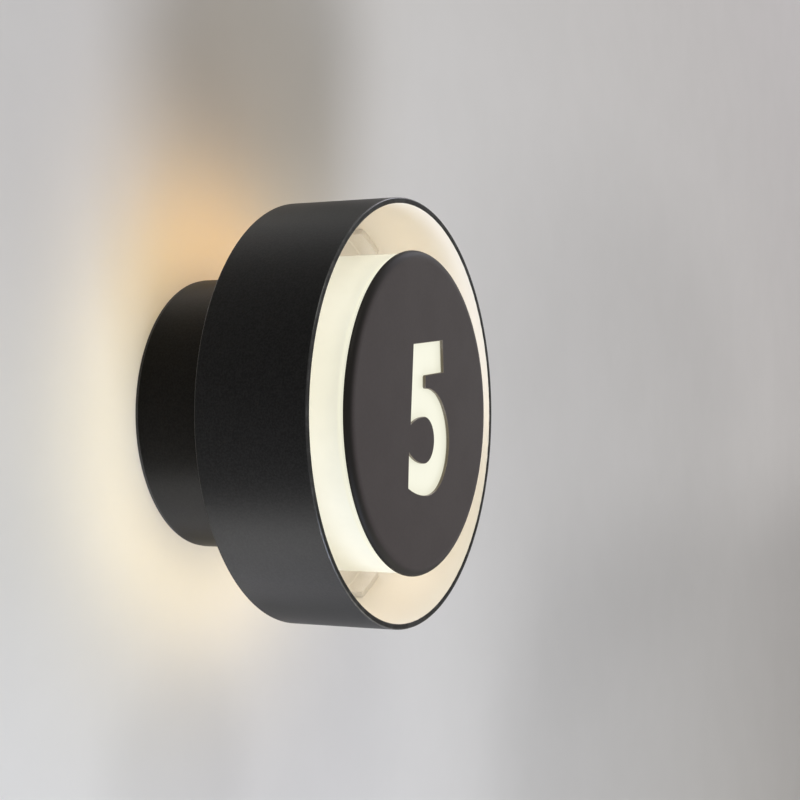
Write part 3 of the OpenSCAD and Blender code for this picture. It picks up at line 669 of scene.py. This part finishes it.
bend_r, bend_d = PLATE_R - EDGE_WIDE, PLATE_FRONT - EDGE_DEEP
inner_wide, inner_deep = EDGE_WIDE - SHEET, EDGE_DEEP - SHEET
rim_profile = (
    bend(bend_r, bend_d, EDGE_WIDE, EDGE_DEEP, 90, 8, 20)
    + bend(PLATE_R - LIP_R, bend_d + LIP_R, LIP_R, LIP_R, 0, -90, 5)
    + bend(bend_r + inner_wide + LIP_R, bend_d + LIP_R, LIP_R, LIP_R, -90, -180, 5)
    + bend(bend_r, bend_d, inner_wide, inner_deep, 20, 90, 12)
)
wall_end = PLATE_FRONT - CUT_WALL
quarter = [math.pi / 2 * i / 5 for i in range(6)]
cut_profile = [(CUT_R * (1 - math.sin(t)), PLATE_FRONT - CUT_R * (1 - math.cos(t))) for t in quarter]
cut_profile += [(0.0, wall_end + WALL_HOLD), (0.0, wall_end)]
cut_profile += [(BREAK_STARTS[0], wall_end - BREAK_STARTS[1]), (BREAK, PLATE_FRONT - SHEET)]

bm = bmesh.new()
rim_rings = [circle(bm, r, d, AROUND) for r, d in rim_profile]
cut_rings = [[bm.verts.new(at(x, d, z)) for x, z in grown(number, by)] for by, d in cut_profile]
for slot, rings in enumerate((rim_rings, cut_rings)):
    for first, second in zip(rings, rings[1:]):
        join_rings(bm, first, second, slot)
web(bm, rim_rings[0], cut_rings[0])
web(bm, rim_rings[-1], cut_rings[-1])
plate = finished(bm, "number_plate", plate_coat, cut_edge_painted_warm)
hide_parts("face_plate")
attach(plate, "diffuser_cap")
print("plate has", len(plate.data.polygons), "faces")


# %% [markdown]
# ## The ring
# The ring is rolled from a strip, welded and ground, so it is round all the way, and its four rims are
# eased with a small radius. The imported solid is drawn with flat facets, and a low light shows them.
# A fine lathe of the same section shows none. A loop close to each rim keeps the walls straight.

# %% Build the ring
RIM_R, HOLD = 0.7, 0.4
RING_AROUND = 360


def eased(cr, cd, start):
    """A quarter turn of rim radius, with a loop just before it and just after it."""
    curve = bend(cr, cd, RIM_R, RIM_R, start, start + 90, 6)
    first, last = math.radians(start), math.radians(start + 90)
    (ar, ad), (br, bd) = curve[0], curve[-1]
    before = (ar + HOLD * math.sin(first), ad - HOLD * math.cos(first))
    after = (br - HOLD * math.sin(last), bd + HOLD * math.cos(last))
    return [before] + curve + [after]


outer, inner = RING_R - RIM_R, RING_R - RING_WALL + RIM_R
ring_profile = (
    eased(outer, RING_FRONT - RIM_R, 0)
    + eased(inner, RING_FRONT - RIM_R, 90)
    + eased(inner, RING_BACK + RIM_R, 180)
    + eased(outer, RING_BACK + RIM_R, 270)
)
bm = bmesh.new()
rings = [circle(bm, r, d, RING_AROUND) for r, d in ring_profile]
for first, second in zip(rings, rings[1:] + rings[:1]):
    join_rings(bm, first, second)
light_ring = finished(bm, "light_ring", ring_coat)
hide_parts("shade_ring")
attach(light_ring, "housing")
print("ring has", len(light_ring.data.polygons), "faces")


# %% [markdown]
# ## The wires
# The leads inside the drum are round and smooth in reality, while the CAD draws them with eight sides.
# Each is built again along the same route, as a tube that is carried along without twisting. The
# earth wire is green with a yellow stripe, which is a matter of giving some of its faces another colour.

# %% Insulation
SHADE_OF_GRAIN = 0.8


def insulation(name, color):
    """A wire's plastic, a little darker in the hollows of its grain."""
    dark = tuple(SHADE_OF_GRAIN * c for c in color)
    return moulded(name, dark, color, 0.4, 0.006, 0.38)


brown = insulation("brown wire", (0.16, 0.065, 0.03))
blue = insulation("blue wire", (0.03, 0.12, 0.42))
green = insulation("green wire", (0.03, 0.26, 0.06))
yellow = insulation("yellow stripe", (0.75, 0.60, 0.04))
red = insulation("red wire", (0.50, 0.03, 0.02))
black = insulation("black wire", (0.02, 0.02, 0.02))
print("made six wire colours")


# %% [markdown]
# ### Bending and drawing a wire
# A wire bends in soft curves between the points that hold it. The curve below goes through every
# point of the route and takes its direction there from the neighbours. The tube's section is carried
# from one place to the next, each time turned only as far as the wire bends.

# %% Wire builder
WIRE_R, WIRE_SIDES, STRIPE_SIDES = 1.1, 16, 3
FIRST_SIDE = Vector((0.3, 0.5, 0.8))


def smooth_route(p, steps=8):
    """A smooth curve through the route's points."""
    out = []
    for i in range(len(p) - 1):
        a, b, c, d = p[max(i - 1, 0)], p[i], p[i + 1], p[min(i + 2, len(p) - 1)]
        for k in range(steps):
            t = k / steps
            square = (2 * a - 5 * b + 4 * c - d) * t * t
            cube = (3 * b - a - 3 * c + d) * t ** 3
            out.append(0.5 * (2 * b + (c - a) * t + square + cube))
    return out + [p[-1]]


def wire(name, route, stands_for, *materials):
    """A round wire along the route. A second material makes a stripe of a few of its sides."""
    points = smooth_route([at(*p) for p in route])
    turns = [math.tau * k / WIRE_SIDES for k in range(WIRE_SIDES)]
    bm = bmesh.new()
    rings, side = [], FIRST_SIDE
    for i, point in enumerate(points):
        way = (points[min(i + 1, len(points) - 1)] - points[max(i - 1, 0)]).normalized()
        side = (side - side.dot(way) * way).normalized()
        other = way.cross(side)
        spokes = [math.cos(t) * side + math.sin(t) * other for t in turns]
        rings.append([bm.verts.new(point + WIRE_R * MM * spoke) for spoke in spokes])
    for first, second in zip(rings, rings[1:]):
        join_rings(bm, first, second)
    if len(materials) > 1:
        for i, face in enumerate(bm.faces):
            face.material_index = 1 if i % WIRE_SIDES < STRIPE_SIDES else 0
    bm.faces.new(rings[0])
    bm.faces.new(reversed(rings[-1]))
    made = finished(bm, name, *materials)
    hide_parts(stands_for)
    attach(made, "housing")
    return made


# %% [markdown]
# ### The routes
# The points are x, depth and height in millimetres, and they are the ones that the CAD's own leads
# pass through: from the terminal block to the driver, the earth screw and the lit board.

# %% Place the wires
PLUS_Z, MINUS_Z = 1.6, -1.6


def led_end(z):
    """The straight way through the drum's front and the tray, then up to the board's connector."""
    return [(0, 48, z), (0, 51.5, z), (0, 62, z), (0, 66.6, z), (4, 70.2, z), (7, 70.2, z), (10, 70.2, z)]


EARTH_ROUTE = [
    (0, 46, -30), (0, 46, -26), (-1, 47, -22), (-9, 51.3, -18),
    (-20, 52.3, -17), (-31, 53.3, -21), (-34, 53.8, -28), (-34, 53.8, -34),
]
LIVE_ROUTE = [
    (-12, 46, -30), (-12, 46, -26), (-12, 46, -21), (-20, 46, -8),
    (-30, 46, 1), (-30, 46, 6), (-30, 46, 9),
]
NEUTRAL_ROUTE = [
    (12, 46, -30), (12, 46, -26), (12, 46, -22), (3, 46, -14),
    (-13, 46, -8), (-22, 46, -1), (-22, 46, 6), (-22, 46, 9),
]
PLUS_ROUTE = [(26, 43, 9), (26, 43, 6), (24, 43, 1), (17, 43, -3), (9, 43, -2), (3, 45, 0.5)]
MINUS_ROUTE = [(31, 43, 9), (31, 43, 6), (29, 43, -3), (20, 43, -9), (10, 43, -8), (3, 45, -4.5)]

wires = [
    wire("earth_wire", EARTH_ROUTE, "earth_lead", green, yellow),
    wire("live_wire", LIVE_ROUTE, "mains_leads", brown),
    wire("neutral_wire", NEUTRAL_ROUTE, "mains_leads", blue),
    wire("led_plus_wire", PLUS_ROUTE + led_end(PLUS_Z), "led_leads", red),
    wire("led_minus_wire", MINUS_ROUTE + led_end(MINUS_Z), "led_leads", black),
]
print("placed", len(wires), "wires")


# %% [markdown]
# ## The earth lug
# The earth wire ends in a ring lug, stamped from tinned sheet: an eye under the screw, a narrow neck,
# and a barrel that is crimped on to the wire. The barrel is a tube whose section gets flatter in
# its middle, where the crimping tool bit.

# %% Earth lug
LUG_X, LUG_Z, LUG_BACK, LUG_FRONT = -34.0, -42.0, 54.2, 55.0
EYE_R, HOLE_R, NECK, NECK_TOP = 4.0, 1.95, 1.5, -37.0
BARREL_LOW, BARREL_TOP, BARREL_DEPTH = -37.6, -34.0, 53.9
BARREL_WIDE, BARREL_DEEP, BITE, BITE_LONG = 1.5, 1.1, 0.35, 0.2
BARREL_LOOPS, BARREL_SIDES = 12, 24

tin = metal("tinned sheet", (0.60, 0.60, 0.58), (0.72, 0.71, 0.69), 6.0, 6.0, 0.28, 0.004)
bm = bmesh.new()
neck_turn = math.degrees(math.acos(NECK / EYE_R))
eye = arc(LUG_X, LUG_Z, EYE_R, 180 - neck_turn, 360 + neck_turn, 40)
eye += [(LUG_X + NECK, NECK_TOP), (LUG_X - NECK, NECK_TOP)]
hole = arc(LUG_X, LUG_Z, HOLE_R, 0, 360, 32)[:-1]
for depth in (LUG_BACK, LUG_FRONT):
    rings = [[bm.verts.new(at(x, depth, z)) for x, z in line] for line in (eye, hole)]
    for ring in rings:
        for i in range(len(ring)):
            bm.edges.new((ring[i], ring[(i + 1) % len(ring)]))
    web(bm, *rings)
    if depth == LUG_BACK:
        back_rings = rings
for first, second in zip(back_rings, rings):
    join_rings(bm, first, second)

barrel = []
turns = [math.tau * k / BARREL_SIDES for k in range(BARREL_SIDES)]
for i in range(BARREL_LOOPS + 1):
    share = i / BARREL_LOOPS
    deep = BARREL_DEEP - BITE * math.exp(-((share - 0.5) / BITE_LONG) ** 2)
    z = BARREL_LOW + (BARREL_TOP - BARREL_LOW) * share
    section = [(LUG_X + BARREL_WIDE * math.cos(t), BARREL_DEPTH + deep * math.sin(t)) for t in turns]
    barrel.append([bm.verts.new(at(x, depth, z)) for x, depth in section])
for first, second in zip(barrel, barrel[1:]):
    join_rings(bm, first, second)
bm.faces.new(barrel[0])
bm.faces.new(reversed(barrel[-1]))
lug = finished(bm, "earth_lug", tin)
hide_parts("earth_lead")
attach(lug, "housing")
print("lug has", len(lug.data.polygons), "faces")


# %% [markdown]
# ## The wall and the floor
# The light needs a wall behind it, because half of what it does is draw a halo there. Plaster is
# never quite flat, so a very fine bump breaks the lamp's edge up. The wall's tone carries painted
# light and shade for the uneven daylight on a real wall, so that the lamps can stay plain: soft darker
# patches, the first of them a painted shadow above the light, a darker lower right corner, and on the
# left a tone raised low down and lowered a little high up. The wall shows only its front: seen from
# behind it is clear, so the back of the light can be looked at too, and it lets the shadow rays of
# lamps behind it pass.

# %% Stage helpers
def plane(name, corners, material):
    """A flat piece of the stage, which isn't a part of the light."""
    mesh = bpy.data.meshes.new(name)
    mesh.from_pydata(corners, [], [(0, 1, 2, 3)])
    mesh.materials.append(material)
    made = bpy.data.objects.new(name, mesh)
    bpy.context.scene.collection.objects.link(made)
    made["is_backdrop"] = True


def seen_directly(tree):
    """1 for a ray from the camera, a mirror image or a view through glass, else 0."""
    ray = add(tree, "LightPath").outputs
    mirrored = maths(tree, "MAXIMUM", ray["Is Glossy Ray"], ray["Is Transmission Ray"])
    return maths(tree, "MAXIMUM", ray["Is Camera Ray"], mirrored)


# %% Wall
PLASTER = ((0.795, 0.79, 0.778), (0.812, 0.806, 0.795))
PLASTER_LEVEL, SHADED_CORNER_LEVEL = 0.893, 0.755
PATCH_CORE = 0.35
PATCHES = [
    # x and height of the middle, half of the width and height, in metres, and the share taken away
    (0.05, 0.23, 0.18, 0.17, 0.25),
    (0.75, 0.0, 0.60, 0.30, 0.12),
    (-0.03, -0.19, 0.09, 0.09, 0.10),
]

plaster, tree, shader = start_material("pale plaster", Roughness=0.85, Specular_IOR_Level=0.2)
place = object_coordinates(tree)
trowel = add(tree, "TexNoise", {"Vector": place, "Scale": 14.0, "Detail": 5.0, "Roughness": 0.6})
sand = add(tree, "TexNoise", {"Vector": place, "Scale": 500.0, "Detail": 2.0})
tone = blend_colors(tree, ramp(tree, trowel.outputs["Fac"], 0.3, 0.7), *PLASTER)
split = add(tree, "SeparateXYZ", {0: place}).outputs

# painted light and shade: on the left the tone is raised low down and lowered a little high up
left = ramp(tree, split["X"], -0.05, -0.17)
lift = ramp(tree, split["Z"], 0.10, -0.17, -0.05, 0.11)
lifted = maths(tree, "ADD", 1.0, maths(tree, "MULTIPLY", left, lift))
level = maths(tree, "MULTIPLY", PLASTER_LEVEL, lifted)
# painted shade: each patch darkens the tone, and the first is a painted shadow above the light
for cx, cz, wide, high, share in PATCHES:
    across = maths(tree, "DIVIDE", maths(tree, "SUBTRACT", split["X"], cx), wide)
    up = maths(tree, "DIVIDE", maths(tree, "SUBTRACT", split["Z"], cz), high)
    away = add(tree, "CombineXYZ", {"X": across, "Y": up}).outputs[0]
    far = add(tree, "VectorMath", {0: away}, operation="LENGTH").outputs["Value"]
    level = maths(tree, "MULTIPLY", level, ramp(tree, far, PATCH_CORE, 1.0, 1.0 - share, 1.0))
# painted shade: the lower right corner is darker
to_right, downwards = ramp(tree, split["X"], 0.2, 0.6), ramp(tree, split["Z"], 0.02, -0.26)
corner = maths(tree, "MULTIPLY", to_right, downwards)
level = maths(tree, "MULTIPLY", level, ramp(tree, corner, 0.0, 1.0, 1.0, SHADED_CORNER_LEVEL))
tree.links.new(blend_colors(tree, level, (0, 0, 0), tone), shader.inputs["Base Color"])
grit = maths(tree, "MULTIPLY", sand.outputs["Fac"], 0.12)
bump(tree, shader, maths(tree, "ADD", trowel.outputs["Fac"], grit), 0.1)

clear = add(tree, "BsdfTransparent")
behind = add(tree, "NewGeometry").outputs["Backfacing"]
shadow = add(tree, "LightPath").outputs["Is Shadow Ray"]
either = maths(tree, "MAXIMUM", behind, shadow)
choice = add(tree, "MixShader", {0: either, 1: shader.outputs[0], 2: clear.outputs[0]})
tree.links.new(choice.outputs[0], tree.nodes["Material Output"].inputs["Surface"])
print("made", plaster.name, "with", len(PATCHES), "soft patches")


# %% [markdown]
# ### The floor
# The floor lies far below and is only there for the views from above and behind. It glows a little,
# but only for the camera and for mirror images, so it looks pale and throws no light on the object.

# %% Floor, and both in place
STONE = ((0.60, 0.59, 0.57), (0.64, 0.63, 0.61))
STONE_SEEN = (0.40, 0.395, 0.385, 1)
WALL_Y, WALL_HALF, WALL_TOP = 0.0002, 2.6, 2.2
FLOOR_Z, FLOOR_HALF = -2.0, 40

stone, tree, shader = start_material("pale floor", Roughness=0.8, Specular_IOR_Level=0.2)
grain = place_group(tree, powder_grain, Grain_mm=3.0)
tree.links.new(blend_colors(tree, grain["Mottle"], *STONE), shader.inputs["Base Color"])
bump(tree, shader, grain["Height"], 0.2)
shader.inputs["Emission Color"].default_value = STONE_SEEN
tree.links.new(seen_directly(tree), shader.inputs["Emission Strength"])

wall_corners = ((-1, FLOOR_Z), (1, FLOOR_Z), (1, WALL_TOP), (-1, WALL_TOP))
plane("wall", [(side * WALL_HALF, WALL_Y, z) for side, z in wall_corners], plaster)
floor_corners = ((-1, -1), (1, -1), (1, 1), (-1, 1))
plane("floor", [(x * FLOOR_HALF, y * FLOOR_HALF, FLOOR_Z) for x, y in floor_corners], stone)
print("wall and floor are on the stage")


# %% [markdown]
# ## Daylight
# Soft light comes from the right and from the front. A world whose colour changes with direction gives
# that. The camera and mirror images see a paler world, so that the background and the glossy coats
# look light without more light on the object.

# %% World
DARK_SIDE, LIGHT_SIDE, FROM_FRONT = (0.03, 0.03, 0.03), (0.95, 0.86, 0.85), (0.30, 0.28, 0.24)
SEEN_LEFT, SEEN_RIGHT = (0.50, 0.495, 0.49), (0.95, 0.94, 0.93)

world = bpy.data.worlds.new("soft daylight")
world.use_nodes = True
bpy.context.scene.world = world
tree = world.node_tree
parts = add(tree, "SeparateXYZ", {0: add(tree, "TexCoord").outputs["Generated"]}).outputs
sideways = blend_colors(tree, ramp(tree, parts["X"], 0.0, 0.9), DARK_SIDE, LIGHT_SIDE)
from_front = blend_colors(tree, ramp(tree, parts["Y"], 0.0, -0.9), (0, 0, 0), FROM_FRONT)
together = {"Factor": 1.0, 6: sideways, 7: from_front}
light = add(tree, "Mix", together, data_type="RGBA", blend_type="ADD").outputs[2]
seen = blend_colors(tree, ramp(tree, parts["X"], -1.0, 1.0), SEEN_LEFT, SEEN_RIGHT)
background = tree.nodes["Background"]
tree.links.new(blend_colors(tree, seen_directly(tree), light, seen), background.inputs["Color"])
print("the world is brightest on the right")


# %% [markdown]
# ### Lamps
# Large square lamps add direction: one low on the left draws the soft shadow above the light, and
# those behind the wall draw the sheen that runs along the dark sides and rims. The wall stops mirror
# rays to those lamps but not shadow rays, so multiple importance sampling is off for them. Otherwise
# their sheen would end in a hard line.

# %% Lamps
CENTRE = Vector((0, -0.06, 0))
LAMPS = [
    # name, place, side in metres, watts, colour
    ("key", (-0.45, -0.95, -1.5), 0.9, 23.5, (0.70, 0.79, 0.98)),
    ("top_left", (-0.9, -0.9, 1.5), 0.9, 10.0, (0.99, 1.0, 0.92)),
    ("window", (2.2, -0.9, 1.6), 1.0, 10.4, (0.87, 0.85, 1.0)),
    ("low_right", (0.9, -1.2, -1.3), 0.9, 5.5, (1.0, 0.97, 0.78)),
    ("edge", (0.15, 0.95, -1.65), 1.0, 9.3, (0.97, 0.96, 1.0)),
    ("edge_left", (-0.8, 0.85, -1.65), 0.8, 19.0, (1.0, 0.99, 0.97)),
    ("edge_top", (0.6, 0.95, 1.55), 1.0, 2.5, (1, 1, 1)),
    ("behind_right", (0.5, 1.5, 0.8), 1.0, 8.0, (1, 1, 1)),
    ("behind_left", (-0.8, 1.2, -0.4), 0.9, 2.0, (1, 1, 1)),
]


def lamp(name, place, target, width, height, watts, color, body=None):
    """A rectangular lamp that looks at the target. With a body it rides along."""
    data = bpy.data.lights.new(name, "AREA")
    data.shape = "RECTANGLE"
    data.size, data.size_y = width, height
    data.energy = watts
    data.color = color
    made = bpy.data.objects.new(name, data)
    made.location = place
    made.rotation_mode = "QUATERNION"
    made.rotation_quaternion = (Vector(target) - Vector(place)).to_track_quat("-Z", "Y")
    bpy.context.scene.collection.objects.link(made)
    if body:
        made.parent = frame["bodies"][body]
    if made.location.y > 0:
        data.cycles.use_multiple_importance_sampling = False


for name, place, side, watts, color in LAMPS:
    lamp(name, place, CENTRE, side, side, watts, color)
print("placed", len(LAMPS), "lamps")


# %% [markdown]
# ## The light that the opal gives
# A render tool's glowing surface has one brightness, but film and eye see the opal much dimmer
# than it is, while its light on the ring and the wall stays strong. Twelve soft lamps stand just
# outside the cylinder and face outwards, so they give what the opal would give and ride with it.
# Twenty-four small ones behind the ring face the wall. They give the halo its colours, which are
# deeper above the light than beside and below it.

# %% Lamps round the opal
GLOW = (1.0, 0.76, 0.55)
GLOW_LAMPS, GLOW_DEPTH, GLOW_R, GLOW_WIDE, GLOW_HIGH = 12, 94, 0.0835, 0.044, 0.048
UP_GLOW_WATTS, GLOW_WATTS = 0.0029, 0.0034
HALO_LAMPS, HALO_DEPTH, HALO_R, HALO_SIDE = 24, 50, 0.090, 0.02
TO_WALL, TO_OUTSIDE = Vector((0, 0.85, 0)), 0.5
TOP_HALO = (0.0061, (1.0, 0.48, 0.0))
SHOULDER_HALO = (0.0042, (1.0, 0.64, 0.12))
SIDE_HALO = (0.0051, (1.0, 0.83, 0.44))
LOW_HALO = (0.0048, (1.0, 0.74, 0.26))
HIGH, TOPMOST = 0.5, 0.8


def ways_round(count):
    """Directions away from the light's axis, evenly spread, each half a step on."""
    turns = [math.tau * (i + 0.5) / count for i in range(count)]
    return [Vector((math.cos(turn), 0, math.sin(turn))) for turn in turns]


for i, way in enumerate(ways_round(GLOW_LAMPS)):
    place = at(0, GLOW_DEPTH, 0) + way * GLOW_R
    watts = UP_GLOW_WATTS if way.z > HIGH else GLOW_WATTS
    lamp(f"glow_{i}", place, place + way, GLOW_WIDE, GLOW_HIGH, watts, GLOW, "diffuser_cap")
for i, way in enumerate(ways_round(HALO_LAMPS)):
    back = at(0, HALO_DEPTH, 0) + way * HALO_R
    outward = TO_WALL + TO_OUTSIDE * way
    watts, color = LOW_HALO if way.z < -HIGH else SIDE_HALO
    if way.z > HIGH:
        watts, color = TOP_HALO if way.z > TOPMOST else SHOULDER_HALO
    lamp(f"halo_{i}", back, back + outward, HALO_SIDE, HALO_SIDE, watts, color, "housing")
print("placed", GLOW_LAMPS, "lamps round the opal and", HALO_LAMPS, "towards the wall")


# %% [markdown]
# ## Look and size
# The colours are shown as they are written, so the view transform is the plain one. The size of the
# finished model is printed next to the CAD's box.

# %% Finish
bpy.context.scene.view_settings.view_transform = "Standard"
shown_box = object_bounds()
cad_size, shown_size = ([round(b - a, 4) for a, b in zip(*box)] for box in (cad_box, shown_box))
print("CAD box", cad_size, "shown box", shown_size)
